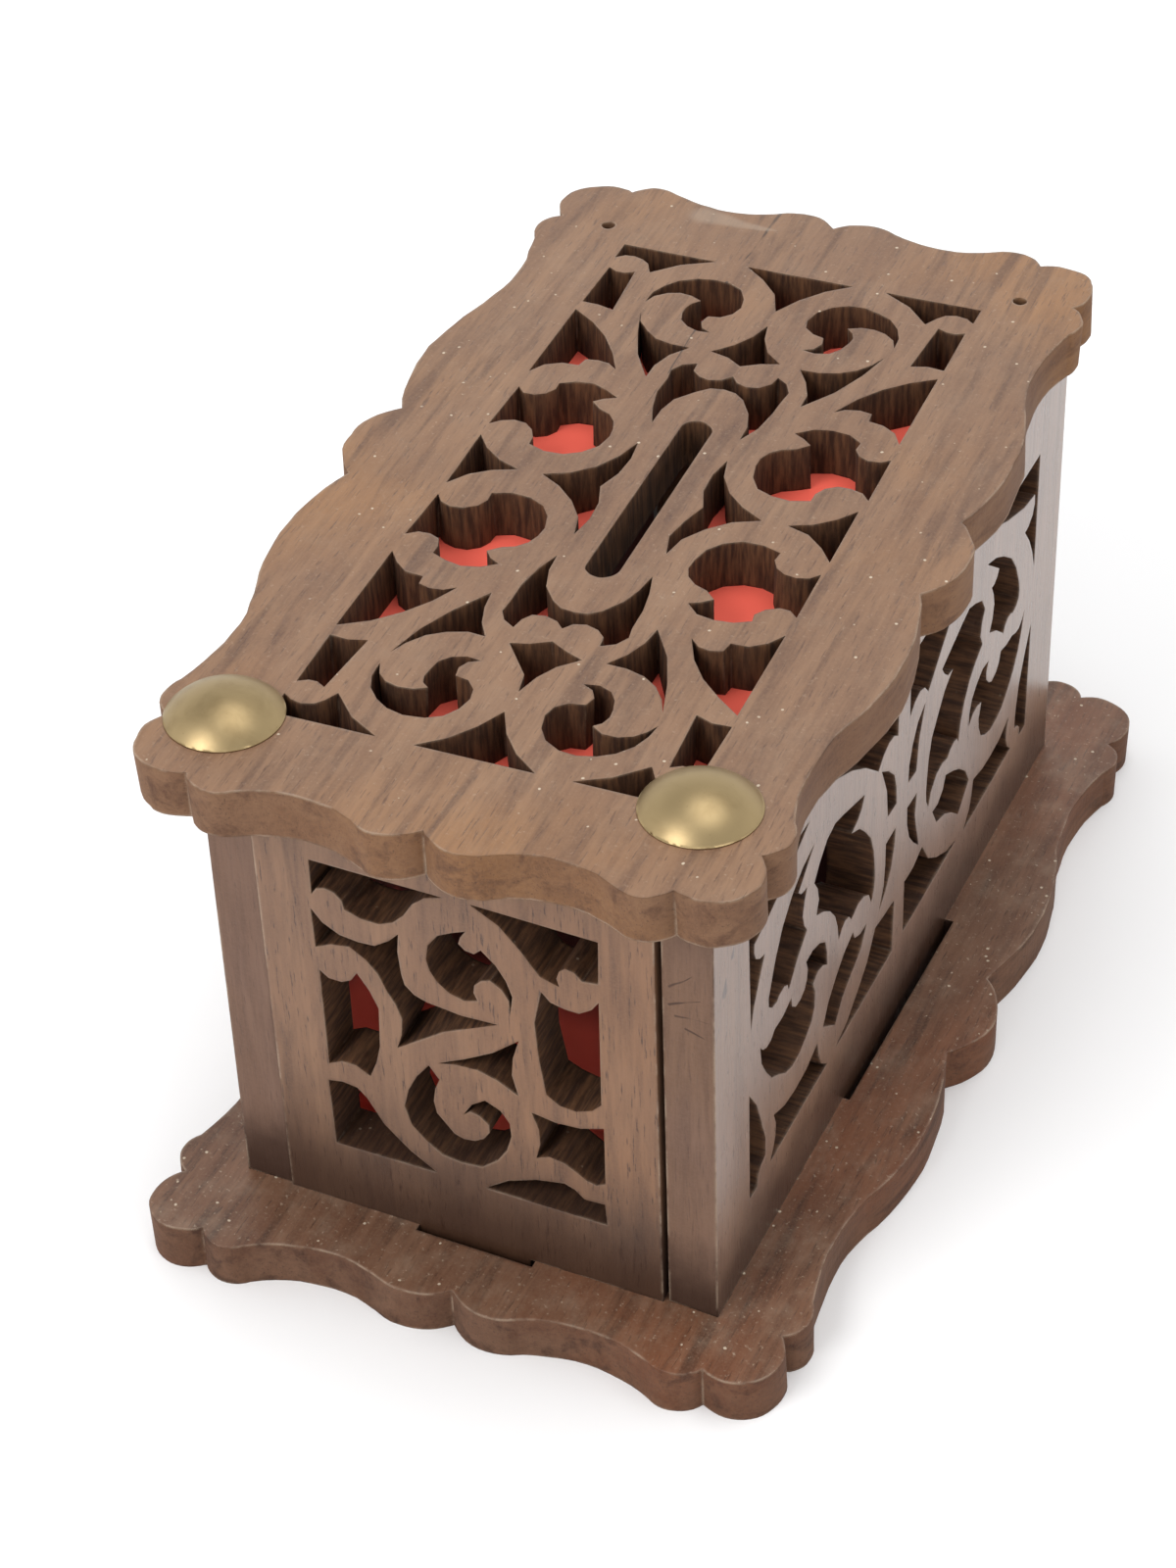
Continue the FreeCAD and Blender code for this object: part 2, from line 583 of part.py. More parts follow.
def make_pin(hand):
    """The shank, from the dome's underside down to its sharpened end in the wall."""
    body = new_body(f"{hand}_nail_pin")
    shank = size("pin_diameter") / 2
    length = size("pin_length")
    turned(body, "shank", [(0, 0), (shank, 0), (shank, size("pin_point") - length), (0, -length)])
    spot = nail_spot(hand)
    place_board(body, Rotation(), str(spot.x), str(spot.y), LID_TOP)
    return body


# Assembly

PIECES = [
    make_base(),
    make_side_wall("left", -1),
    make_side_wall("right", 1),
    make_end_wall("front_end", -1),
    make_end_wall("rear_end", 1),
    make_lid(),
    make_lid_lining(),
]
PIECES += make_linings()
for hand in ("left", "right"):
    PIECES += [make_cap(hand), make_pin(hand)]

doc.recompute()

for item in doc.Objects:
    if {"Invalid", "Error"} & set(item.State):
        raise RuntimeError(f"{item.Label}: {item.State}")
for body in PIECES:
    shape = body.Shape
    if shape.isNull() or not shape.isValid() or len(shape.Solids) != 1:
        raise RuntimeError(f"{body.Label} is not one sound solid")
    shape.exportStep(os.path.join("parts", body.Label + ".step"))
    box = shape.BoundBox
    print(f"{body.Label}: {shape.Volume / 1000:.2f} cm3, x {box.XMin:.1f} to {box.XMax:.1f}, "
          f"y {box.YMin:.1f} to {box.YMax:.1f}, z {box.ZMin:.1f} to {box.ZMax:.1f}")
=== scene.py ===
"""Looks of the fret-sawn money box: dark brown hardwood with sawn cuts and worn edges, a dusty
base, red lining paper and two antiqued brass dome nails, on a pale table under soft light.

Metres, in the frame's own axes.
"""
import math

import bpy
from mathutils import Euler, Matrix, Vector


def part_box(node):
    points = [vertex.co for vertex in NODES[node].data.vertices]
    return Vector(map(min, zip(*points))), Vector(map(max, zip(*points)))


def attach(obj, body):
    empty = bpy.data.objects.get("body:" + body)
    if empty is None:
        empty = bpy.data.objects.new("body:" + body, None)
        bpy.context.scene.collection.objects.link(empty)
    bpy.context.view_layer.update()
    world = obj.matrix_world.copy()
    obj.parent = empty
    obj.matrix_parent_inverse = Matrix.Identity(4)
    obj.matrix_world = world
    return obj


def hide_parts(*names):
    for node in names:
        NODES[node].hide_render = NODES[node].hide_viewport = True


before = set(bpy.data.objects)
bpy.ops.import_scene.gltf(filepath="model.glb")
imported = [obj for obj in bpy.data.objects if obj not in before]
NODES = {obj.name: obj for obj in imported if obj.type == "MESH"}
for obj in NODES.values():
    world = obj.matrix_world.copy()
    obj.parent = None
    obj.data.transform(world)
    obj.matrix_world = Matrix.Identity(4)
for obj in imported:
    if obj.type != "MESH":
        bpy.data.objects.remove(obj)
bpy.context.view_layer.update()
MM = 0.001

# Camera, as in the photograph

CAMERA_PLACE = Vector((163.3, -363.5, 361.7)) * MM
CAMERA_TURN = Euler([math.radians(angle) for angle in (50.73, 1.73, 24.62)], "XYZ")
CAMERA_LENS = 83.3
CAMERA_SENSOR = 36
CAMERA_NEAR = 0.01

# Light. The room is bright around the table and dimmer overhead.

ROOM_LIGHT = 1.2
OVERHEAD_LIGHT = 0.56
DIM_FROM, DIM_TO = 0.3, 0.95
LAMP_AIM = Vector((0, 0, 0.05))
WINDOW_LAMP = dict(place=Vector((-0.35, -0.85, 0.85)), size=0.6, watts=6)
CEILING_LAMP = dict(place=Vector((0.15, 0.1, 1.3)), size=0.9, watts=5.6)
TABLE_SIZE = 6
TABLE_PALE = (0.96, 0.96, 0.965, 1)
TABLE_ROUGH = 0.7
WHITE = (1, 1, 1, 1)

# The lid, which sits turned on the walls. Its middle is given in the frame's axes.

LID_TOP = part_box("lid_plate")[1][2]
LID_TURN = 2.4
LID_MIDDLE = Vector((-2.0, -2.7, 0)) * MM

# How a board's grain runs

ALONG_Y = (1, 0.09, 1)
ALONG_Z = (1, 1, 0.09)

# Polish: every wood has the same bare shine, and its faces have a coat of wax over it

BARE_SHINE = 0.3
SAWN_ROUGHER = 0.35
GRAIN_ROUGHER = 0.1


def rgb(red, green, blue):
    """A colour as seen, 0 to 255, for a socket."""
    return tuple((value / 255) ** 2.2 for value in (red, green, blue)) + (1,)


# Colours that several boards share

# the fret's cut walls: painted shade inside the holes, the darker colour along the saw marks
CUT = rgb(98, 68, 46)
CUT_DEEP_SHADE = rgb(46, 28, 18)
# a wall's dark foot: partly grime, partly painted shade where the wall meets the base
GRIME_AND_SHADE = rgb(50, 31, 21)
RUBBED = rgb(180, 158, 136)
CRACK_DARK = rgb(52, 36, 30)
SMUDGE_PALE = rgb(168, 152, 134)
DUST_PALE = rgb(190, 174, 152)

# Colours of the paper and the nails

CORAL, CORAL_DEEP = rgb(250, 104, 86), rgb(240, 92, 74)
# painted shade on the lining paper, deep inside the nearly closed box
PAPER_SHADE = rgb(46, 26, 20)
BRASS_SPECK = rgb(92, 78, 48)
STEEL_PALE, STEEL_DARK = rgb(150, 146, 140), rgb(118, 112, 104)


# Node groups

def new_group(name, inputs, outputs):
    """An empty shader node group. inputs and outputs are (kind, name, default)."""
    group = bpy.data.node_groups.new(name, "ShaderNodeTree")
    for in_out, sockets in (("INPUT", inputs), ("OUTPUT", outputs)):
        for kind, socket_name, default in sockets:
            socket = group.interface.new_socket(
                socket_name, in_out=in_out, socket_type="NodeSocket" + kind)
            if default is not None:
                socket.default_value = default
    return group


class Graph:
    """Adds nodes to one tree and links them by socket name."""

    def __init__(self, tree):
        self.tree = tree

    def node(self, kind, links=None, **settings):
        family = "" if kind.startswith("Group") and kind != "Group" else "Shader"
        node = self.tree.nodes.new(family + "Node" + kind)
        for name, value in settings.items():
            setattr(node, name, value)
        for socket, source in (links or {}).items():
            self.feed(node.inputs[socket], source)
        return node

    def feed(self, socket, source):
        """Links another node's socket, or sets a plain value."""
        if isinstance(source, bpy.types.NodeSocket):
            self.tree.links.new(source, socket)
        else:
            socket.default_value = source

    def math(self, operation, a, b=0.0, clamp=False):
        node = self.node("Math", operation=operation, use_clamp=clamp)
        self.feed(node.inputs[0], a)
        self.feed(node.inputs[1], b)
        return node.outputs[0]

    def vector_math(self, operation, a, b, output=0):
        node = self.node("VectorMath", operation=operation)
        self.feed(node.inputs[0], a)
        self.feed(node.inputs[1], b)
        return node.outputs[output]

    def scaled(self, vector, factor):
        node = self.node("VectorMath", operation="SCALE")
        self.feed(node.inputs[0], vector)
        self.feed(node.inputs["Scale"], factor)
        return node.outputs[0]

    def mix(self, factor, a, b):
        node = self.node("Mix", data_type="RGBA", blend_type="MIX")
        self.feed(node.inputs[0], factor)
        self.feed(node.inputs[6], a)
        self.feed(node.inputs[7], b)
        return node.outputs[2]

    def tinted(self, mask, strength, color, tint):
        """The colour, with as much of the tint as the mask says, up to strength."""
        return self.mix(self.math("MULTIPLY", mask, strength), color, tint)

    def ramp(self, value, low, high):
        """0 below low, 1 above high, smooth in between."""
        node = self.node("MapRange", {"Value": value, "From Min": low, "From Max": high},
                         interpolation_type="SMOOTHSTEP")
        return node.outputs["Result"]

    def noise(self, vector, scale, detail=4.0, roughness=0.55, distortion=0.0):
        node = self.node("TexNoise", {
            "Vector": vector, "Scale": scale, "Detail": detail, "Roughness": roughness,
            "Distortion": distortion})
        return node.outputs["Fac"]

    def group(self, tree, **values):
        """Places a node group. A value's name is its socket's, with _ for a space."""
        node = self.node("Group", node_tree=tree)
        for name, value in values.items():
            self.feed(node.inputs[name.replace("_", " ")], value)
        return node.outputs


def grain_group():
    """Long-grained hardwood: slow soft bands, fine streaks and short dark pores along the
    grain, over patches that lean to a warmer brown."""
    group = new_group("hardwood grain", [
        ("Vector", "Place", None), ("Vector", "Stretch", (1, 1, 1)),
        ("Color", "Dark", (0.05, 0.03, 0.02, 1)), ("Color", "Middle", (0.2, 0.12, 0.08, 1)),
        ("Color", "Light", (0.35, 0.24, 0.17, 1)), ("Color", "Warm", (0.3, 0.2, 0.1, 1)),
        ("Float", "Streaks", 0.5), ("Float", "Pores", 0.5),
    ], [("Color", "Color", None), ("Float", "Height", None)])
    g = Graph(group)
    inputs = g.node("GroupInput").outputs
    place = inputs["Place"]
    along = g.vector_math("MULTIPLY", place, inputs["Stretch"])
    bands = g.ramp(g.noise(along, 190, 3, 0.5, 0.8), 0.3, 0.72)
    streaks = g.ramp(g.noise(along, 360, 4, 0.6, 0.5), 0.48, 0.72)
    threads = g.ramp(g.noise(along, 1500, 3, 0.6), 0.35, 0.7)
    pores = g.ramp(g.noise(along, 3600, 2, 0.5), 0.6, 0.72)
    fine = g.ramp(g.noise(place, 2600, 2, 0.6), 0.3, 0.75)
    patches = g.ramp(g.noise(place, 17, 3, 0.55), 0.42, 0.7)
    blotches = g.ramp(g.noise(place, 55, 4, 0.6), 0.45, 0.8)
    color = g.mix(bands, inputs["Middle"], inputs["Light"])
    color = g.tinted(patches, 0.6, color, inputs["Warm"])
    color = g.tinted(streaks, inputs["Streaks"], color, inputs["Dark"])
    color = g.tinted(threads, 0.24, color, inputs["Dark"])
    color = g.tinted(pores, inputs["Pores"], color, inputs["Dark"])
    color = g.tinted(blotches, 0.25, color, inputs["Dark"])
    color = g.tinted(fine, 0.3, color, inputs["Light"])
    sunken = g.math("ADD", g.math("MULTIPLY", threads, 0.3), pores)
    out = g.node("GroupOutput")
    g.feed(out.inputs["Color"], color)
    g.feed(out.inputs["Height"], g.math("SUBTRACT", 1.0, sunken))
    return group


def fret_group():
    """1 in the box round Middle, as far as Reach, where a board is pierced, and 0 outside it."""
    group = new_group("pierced field", [
        ("Vector", "Place", None), ("Vector", "Middle", (0, 0, 0)), ("Vector", "Reach", (1, 1, 1)),
    ], [("Float", "Mask", None)])
    g = Graph(group)
    inputs = g.node("GroupInput").outputs
    offset = g.vector_math("SUBTRACT", inputs["Place"], inputs["Middle"])
    share = g.vector_math("DIVIDE", offset, inputs["Reach"])
    size = g.node("VectorMath", operation="ABSOLUTE")
    g.feed(size.inputs[0], share)
    parts = g.node("SeparateXYZ", {"Vector": size.outputs[0]}).outputs
    widest = g.math("MAXIMUM", g.math("MAXIMUM", parts["X"], parts["Y"]), parts["Z"])
    out = g.node("GroupOutput")
    g.feed(out.inputs["Mask"], g.math("LESS_THAN", widest, 1.0))
    return group


def sawn_group():
    """Where a board was sawn through: a mask of the faces square to the board's own face, and
    the saw's fine upright marks on them."""
    group = new_group("sawn faces", [
        ("Vector", "Place", None), ("Vector", "Board normal", (0, 0, 1)),
        ("Vector", "Marks", (1, 1, 1)),
    ], [("Float", "Mask", None), ("Float", "Height", None)])
    g = Graph(group)
    inputs = g.node("GroupInput").outputs
    normal = g.node("NewGeometry").outputs["True Normal"]
    facing = g.math("ABSOLUTE", g.vector_math(
        "DOT_PRODUCT", normal, inputs["Board normal"], "Value"))
    marks = g.vector_math("MULTIPLY", inputs["Place"], inputs["Marks"])
    out = g.node("GroupOutput")
    g.feed(out.inputs["Mask"], g.math("SUBTRACT", 1.0, g.ramp(facing, 0.3, 0.7)))
    g.feed(out.inputs["Height"], g.noise(marks, 1500, 3, 0.6))
    return group


def wear_group():
    """Mask of rubbed edges, broken up along their length, and the normal of a softened edge."""
    group = new_group("rubbed edges", [
        ("Vector", "Place", None), ("Float", "Width", 0.0007),
    ], [("Float", "Mask", None), ("Vector", "Soft normal", None)])
    g = Graph(group)
    inputs = g.node("GroupInput").outputs
    bevel = g.node("Bevel", samples=6)
    g.feed(bevel.inputs["Radius"], inputs["Width"])
    soft = bevel.outputs["Normal"]
    facing = g.vector_math(
        "DOT_PRODUCT", soft, g.node("NewGeometry").outputs["True Normal"], "Value")
    edge = g.ramp(g.math("SUBTRACT", 1.0, facing), 0.03, 0.16)
    patches = g.ramp(g.noise(inputs["Place"], 170, 4, 0.65), 0.4, 0.62)
    out = g.node("GroupOutput")
    g.feed(out.inputs["Mask"], g.math("MULTIPLY", edge, patches))
    g.feed(out.inputs["Soft normal"], soft)
    return group


def dust_group():
    """Pale dust on the faces that look up: a thin haze, a fine powder and single bright specks."""
    group = new_group("dust", [
        ("Vector", "Place", None), ("Float", "Amount", 0.5),
    ], [("Float", "Mask", None)])
    g = Graph(group)
    inputs = g.node("GroupInput").outputs
    place = inputs["Place"]
    normal = g.node("SeparateXYZ", {"Vector": g.node("NewGeometry").outputs["True Normal"]})
    up = g.ramp(normal.outputs["Z"], 0.4, 0.9)
    haze = g.ramp(g.noise(place, 130, 5, 0.75), 0.42, 0.8)
    powder = g.ramp(g.noise(place, 1300, 3, 0.7), 0.6, 0.74)
    cells = g.node("TexVoronoi", {"Vector": place, "Scale": 330.0, "Randomness": 1.0})
    ragged = g.math("MULTIPLY", g.noise(place, 2500), 0.09)
    near = g.math("ADD", cells.outputs["Distance"], ragged)
    specks = g.math("SUBTRACT", 1.0, g.ramp(near, 0.085, 0.13))
    rare = g.ramp(g.noise(place, 260, 2, 0.6), 0.36, 0.48)
    share = g.math("ADD", g.math("MULTIPLY", haze, 0.12), g.math("MULTIPLY", powder, 0.3))
    share = g.math("ADD", share, g.math("MULTIPLY", g.math("MULTIPLY", specks, rare), 2.2))
    out = g.node("GroupOutput")
    g.feed(out.inputs["Mask"], g.math(
        "MULTIPLY", g.math("MULTIPLY", share, up), inputs["Amount"], clamp=True))
    return group


def crack_group():
    """Mask of a thin wandering line from Start to End on a flat board, finer towards its end."""
    group = new_group("crack", [
        ("Vector", "Place", None), ("Vector", "Start", (0, 0, 0)), ("Vector", "End", (0, 1, 0)),
        ("Float", "Width", 0.0003), ("Float", "Wander", 0.001),
    ], [("Float", "Mask", None)])
    g = Graph(group)
    inputs = g.node("GroupInput").outputs
    start = inputs["Start"]
    wobble = g.node("TexNoise", {"Vector": inputs["Place"], "Scale": 90.0, "Detail": 3.0})
    centred = g.vector_math("SUBTRACT", wobble.outputs["Color"], (0.5, 0.5, 0.5))
    strayed = g.vector_math("ADD", inputs["Place"], g.scaled(centred, inputs["Wander"]))
    line = g.vector_math("SUBTRACT", inputs["End"], start)
    offset = g.vector_math("SUBTRACT", strayed, start)
    share = g.math("DIVIDE", g.vector_math("DOT_PRODUCT", offset, line, "Value"),
                   g.vector_math("DOT_PRODUCT", line, line, "Value"), clamp=True)
    gap = g.vector_math("DISTANCE", offset, g.scaled(line, share), "Value")
    thin = g.math("MULTIPLY", inputs["Width"], g.math("SUBTRACT", 1.15, share))
    out = g.node("GroupOutput")
    g.feed(out.inputs["Mask"], g.math(
        "SUBTRACT", 1.0, g.ramp(g.math("DIVIDE", gap, thin), 0.4, 1.0)))
    return group


GRAIN = grain_group()
SAWN = sawn_group()
WEAR = wear_group()
DUST = dust_group()
CRACK = crack_group()
FRET = fret_group()


# Materials

def new_material(name):
    """A material with its shader, and Object coordinates for its patterns."""
    material = bpy.data.materials.new(name)
    material.use_nodes = True
    material.node_tree.nodes.clear()
    g = Graph(material.node_tree)
    shader = g.node("BsdfPrincipled")
    out = g.node("OutputMaterial")
    g.feed(out.inputs["Surface"], shader.outputs["BSDF"])
    place = g.node("TexCoord").outputs["Object"]
    return material, g, shader, place


def foot_shade_and_grime(g, color, place, top):
    """Darkens a wall's foot up to the height of top, with a cloudy edge: partly grime and partly
    painted shade where the wall meets the base.
    """
    height = g.node("SeparateXYZ", {"Vector": place}).outputs["Z"]
    cloud = g.math("MULTIPLY", g.math("SUBTRACT", g.noise(place, 120), 0.5), 0.012)
    low = g.math("SUBTRACT", 1.0, g.ramp(g.math("ADD", height, cloud), 0.009, top))
    return g.tinted(low, 0.85, color, GRIME_AND_SHADE)


def wood(name, stretch, board_normal, dark, middle, light, warm, fret, cut=CUT, streaks=0.4,
         pores=0.4, dust=0.2, cracks=(), smudges=(), offset=(0, 0, 0), turn=0, rough=0.42,
         polish=0.35, shade_and_grime_height=None):
    """Hardwood of one board. fret is the middle and reach of its pierced field. cracks are
    (start, end, width, wander), smudges (start, end, width, strength), in metres on the board's
    own pattern. The last argument, if given, is the height up to which the board's foot is dark,
    partly grime and partly painted shade where the wall meets the base."""
    material, g, shader, place = new_material(name)
    pattern = g.node("Mapping", {
        "Vector": place, "Location": offset, "Rotation": (0, 0, math.radians(turn))})
    board = pattern.outputs["Vector"]
    grain = g.group(GRAIN, Place=board, Stretch=stretch, Dark=dark, Middle=middle, Light=light,
                    Warm=warm, Streaks=streaks, Pores=pores)
    marks = tuple(0.12 if abs(part) >= 0.5 else 1 for part in board_normal)
    sawn = g.group(SAWN, Place=board, Board_normal=board_normal, Marks=marks)
    pierced = g.group(FRET, Place=board, Middle=fret[0], Reach=fret[1])["Mask"]
    wear = g.group(WEAR, Place=board)
    dusty = g.group(DUST, Place=board, Amount=dust)

    # the board's outer edges are a little darker than its faces; the fret's cut walls are painted
    # dark, painted shade inside the holes, streaked along the saw marks
    outer_edge = g.mix(0.35, grain["Color"], dark)
    color = g.mix(sawn["Mask"], grain["Color"], outer_edge)
    cut_in_shade = g.mix(g.ramp(sawn["Height"], 0.3, 0.75), CUT_DEEP_SHADE, cut)
    color = g.tinted(g.math("MULTIPLY", sawn["Mask"], pierced), 0.92, color, cut_in_shade)
    # the wall's foot goes dark: partly grime, partly painted shade where it meets the base
    if shade_and_grime_height:
        color = foot_shade_and_grime(g, color, place, shade_and_grime_height)
    less_inside = g.math("SUBTRACT", 0.65, g.math("MULTIPLY", pierced, 0.4))
    color = g.tinted(wear["Mask"], less_inside, color, RUBBED)
    for start, end, width, wander in cracks:
        crack = g.group(CRACK, Place=board, Start=start, End=end, Width=width, Wander=wander)
        color = g.tinted(crack["Mask"], 0.75, color, CRACK_DARK)
    for start, end, width, strength in smudges:
        smudge = g.group(CRACK, Place=board, Start=start, End=end, Width=width, Wander=width)
        color = g.tinted(smudge["Mask"], strength, color, SMUDGE_PALE)
    g.feed(shader.inputs["Base Color"], g.mix(dusty["Mask"], color, DUST_PALE))

    roughness = g.math("ADD", g.math("MULTIPLY", grain["Height"], GRAIN_ROUGHER),
                       g.math("MULTIPLY", sawn["Mask"], SAWN_ROUGHER))
    g.feed(shader.inputs["Roughness"], g.math("ADD", roughness, rough, clamp=True))
    relief = g.math("ADD", grain["Height"], g.math("MULTIPLY", sawn["Mask"], sawn["Height"]))
    bump = g.node("Bump", {"Strength": 0.25, "Distance": 0.2 * MM, "Height": relief,
                           "Normal": wear["Soft normal"]})
    g.feed(shader.inputs["Normal"], bump.outputs["Normal"])
    shader.inputs["Specular IOR Level"].default_value = BARE_SHINE
    g.feed(shader.inputs["Coat Weight"],
           g.math("MULTIPLY", g.math("SUBTRACT", 1.0, sawn["Mask"]), polish))
    shader.inputs["Coat Roughness"].default_value = rough
    return material


def paper(name, shaded_from=None):
    """Coral red paper, painted dark beyond a given y and above a given z: painted shade deep
    inside the nearly closed box.
    """
    material, g, shader, place = new_material(name)
    fibres = g.noise(place, 2600, 3, 0.7)
    clouds = g.noise(place, 60, 2, 0.5)
    color = g.tinted(clouds, 0.5, CORAL, CORAL_DEEP)
    # painted shade: the paper goes dark deep inside the box, away from the light
    if shaded_from:
        parts = g.node("SeparateXYZ", {"Vector": place}).outputs
        wander = g.math("MULTIPLY", g.math("SUBTRACT", g.noise(place, 30, 2), 0.5), 0.012)
        soft = 6 * MM
        far, high = (
            g.ramp(g.math("ADD", part, wander), edge - soft, edge + soft)
            for part, edge in zip((parts["Y"], parts["Z"]), shaded_from))
        color = g.tinted(g.math("MAXIMUM", far, high), 0.94, color, PAPER_SHADE)
    g.feed(shader.inputs["Base Color"], color)
    bump = g.node("Bump", {"Strength": 0.15, "Distance": 0.1 * MM, "Height": fibres})
    g.feed(shader.inputs["Normal"], bump.outputs["Normal"])
    shader.inputs["Roughness"].default_value = 0.85
    return material


def brass(name, base, tarnish, rough):
    """Pressed brass with clouds of tarnish, dark specks and faint brushed lines."""
    material, g, shader, place = new_material(name)
    clouds = g.noise(place, 210, 4, 0.6, 0.4)
    specks = g.ramp(g.noise(place, 1700, 3, 0.7), 0.64, 0.78)
    color = g.tinted(g.ramp(clouds, 0.4, 0.75), 0.6, base, tarnish)
    g.feed(shader.inputs["Base Color"], g.tinted(specks, 0.3, color, BRASS_SPECK))
    g.feed(shader.inputs["Roughness"], g.math("ADD", g.math("MULTIPLY", clouds, 0.1), rough))
    brushed = g.node("Mapping", {"Vector": place, "Scale": (1, 5, 1)}).outputs["Vector"]
    bump = g.node("Bump", {
        "Strength": 0.04, "Distance": 0.2 * MM, "Height": g.noise(brushed, 900, 3, 0.6)})
    g.feed(shader.inputs["Normal"], bump.outputs["Normal"])
    shader.inputs["Metallic"].default_value = 1
    return material


def steel(name):
    """Plain drawn steel, a little mottled."""
    material, g, shader, place = new_material(name)
    g.feed(shader.inputs["Base Color"], g.mix(g.noise(place, 900), STEEL_PALE, STEEL_DARK))
    shader.inputs["Metallic"].default_value = 1
    shader.inputs["Roughness"].default_value = 0.38
    return material


def dress(node, material):
    """Gives a CAD node its material, in its object's own slots."""
    for slot in NODES[node].material_slots:
        slot.material = material


def on_lid(x, y):
    """A place on the lid's own pattern, x and y in millimetres from the lid's middle."""
    return (x * MM, y * MM, LID_TOP)


def spot(x, y, z):
    """A place on an unturned board, in millimetres in the frame's axes."""
    return (x * MM, y * MM, z * MM)


def lid_offset():
    """Moves the lid's pattern so that its middle is at the lid's middle."""
    turned = LID_MIDDLE.copy()
    turned.rotate(Euler((0, 0, math.radians(-LID_TURN))))
    return tuple(-turned)


def box_field(x0, x1, y0, y1, z0, z1):
    """Middle and reach of a box given by its corners in millimetres."""
    corners = Vector((x0, y0, z0)) * MM, Vector((x1, y1, z1)) * MM
    return tuple((corners[0] + corners[1]) / 2), tuple((corners[1] - corners[0]) / 2)


lid_wood = wood(
    "lid hardwood", ALONG_Y, (0, 0, 1), dark=rgb(70, 46, 36), middle=rgb(121, 90, 68),
    light=rgb(138, 106, 81), warm=rgb(152, 108, 66), fret=box_field(-28, 28, -60, 60, 70, 95),
    streaks=0.64, pores=0.6, dust=0.55, offset=lid_offset(), turn=-LID_TURN,
    cracks=[(on_lid(-8.6, 76), on_lid(-9.4, 54), 0.4 * MM, 1.6 * MM),
            (on_lid(-9.4, 54), on_lid(-8.8, 18), 0.3 * MM, 1.2 * MM)],
    smudges=[(on_lid(-19.5, 70.5), on_lid(-7.5, 70), 2.6 * MM, 0.32)])

# the end walls go dark towards their foot, partly grime and partly painted shade
end_wood = wood(
    "end wall hardwood", ALONG_Z, (0, 1, 0), dark=rgb(56, 36, 27), middle=rgb(111, 81, 61),
    light=rgb(126, 94, 71), warm=rgb(126, 88, 60), fret=box_field(-24, 22, -100, 100, 15, 71),
    streaks=0.45, pores=0.85, dust=0.08, shade_and_grime_height=34 * MM)

# the side walls go dark towards their foot, partly grime and partly painted shade
SIDE = dict(
    stretch=ALONG_Z, board_normal=(1, 0, 0), dark=rgb(66, 46, 38), middle=rgb(114, 88, 73),
    light=rgb(130, 103, 88), warm=rgb(124, 94, 70), fret=box_field(-100, 100, -60, 56, 15, 71),
    streaks=0.3, pores=0.4, dust=0.05, rough=0.25, polish=0.75, shade_and_grime_height=22 * MM)
left_side_wood = wood("left wall hardwood", **SIDE)

# saw marks on the right wall's front end, and two dents beside them on its outer face
SAW_MARKS = [
    (spot(28.4, -67, 63.6), spot(31.6, -67, 66.4), 0.28 * MM, 1.6 * MM),
    (spot(28.2, -67, 60.6), spot(32.4, -67, 62.6), 0.32 * MM, 2.0 * MM),
    (spot(29.0, -67, 58.8), spot(33.4, -67, 59.0), 0.28 * MM, 2.0 * MM),
    (spot(30.4, -67, 57.0), spot(34.0, -67, 55.9), 0.26 * MM, 1.6 * MM),
]
DENTS = [
    (spot(34.4, -63.9, 61.9), spot(34.4, -63.4, 64.0), 1.0 * MM, 0.8 * MM),
    (spot(34.4, -61.4, 65.9), spot(34.4, -61.0, 67.0), 0.6 * MM, 0.6 * MM),
]
right_side_wood = wood("right wall hardwood", cracks=SAW_MARKS + DENTS, **SIDE)

base_wood = wood(
    "base hardwood", ALONG_Y, (0, 0, 1), dark=rgb(46, 28, 20), middle=rgb(102, 70, 52),
    light=rgb(124, 92, 72), warm=rgb(132, 76, 46), fret=box_field(-37, 36, -69, 65, -10, 20),
    cut=rgb(54, 36, 28), streaks=0.66, pores=0.6, dust=1.5)

cap_brass = brass("antiqued brass", rgb(160, 140, 104), rgb(136, 117, 85), 0.36)
shank_steel = steel("drawn steel")

dress("lid_plate", lid_wood)
dress("base_plate", base_wood)
dress("front_end", end_wood)
dress("rear_end", end_wood)
dress("left_side", left_side_wood)
dress("right_side", right_side_wood)
dress("lid_lining", paper("red lining paper"))
# the floor and left wall linings carry painted shade deep inside the box
dress("floor_lining", paper("shaded floor paper", shaded_from=(-20 * MM, 100 * MM)))
dress("left_lining", paper("shaded wall paper", shaded_from=(-36 * MM, 30 * MM)))
for hand in ("left", "right"):
    dress(f"{hand}_nail_cap", cap_brass)
    dress(f"{hand}_nail_pin", shank_steel)


# Hand-sawn outlines

# each board with the axis that it is flat across, the reach of its wavering and the length of a
# waver, both in millimetres
SAWN_BOARDS = [
    ("lid_plate", 2, 0.6, 3.6),
    ("front_end", 1, 0.8, 3.0),
    ("rear_end", 1, 0.8, 3.0),
    ("left_side", 0, 0.8, 3.0),
    ("right_side", 0, 0.8, 3.0),
    ("base_plate", 2, 0.6, 7.0),
]
SLOWER_WAVER = 1.6


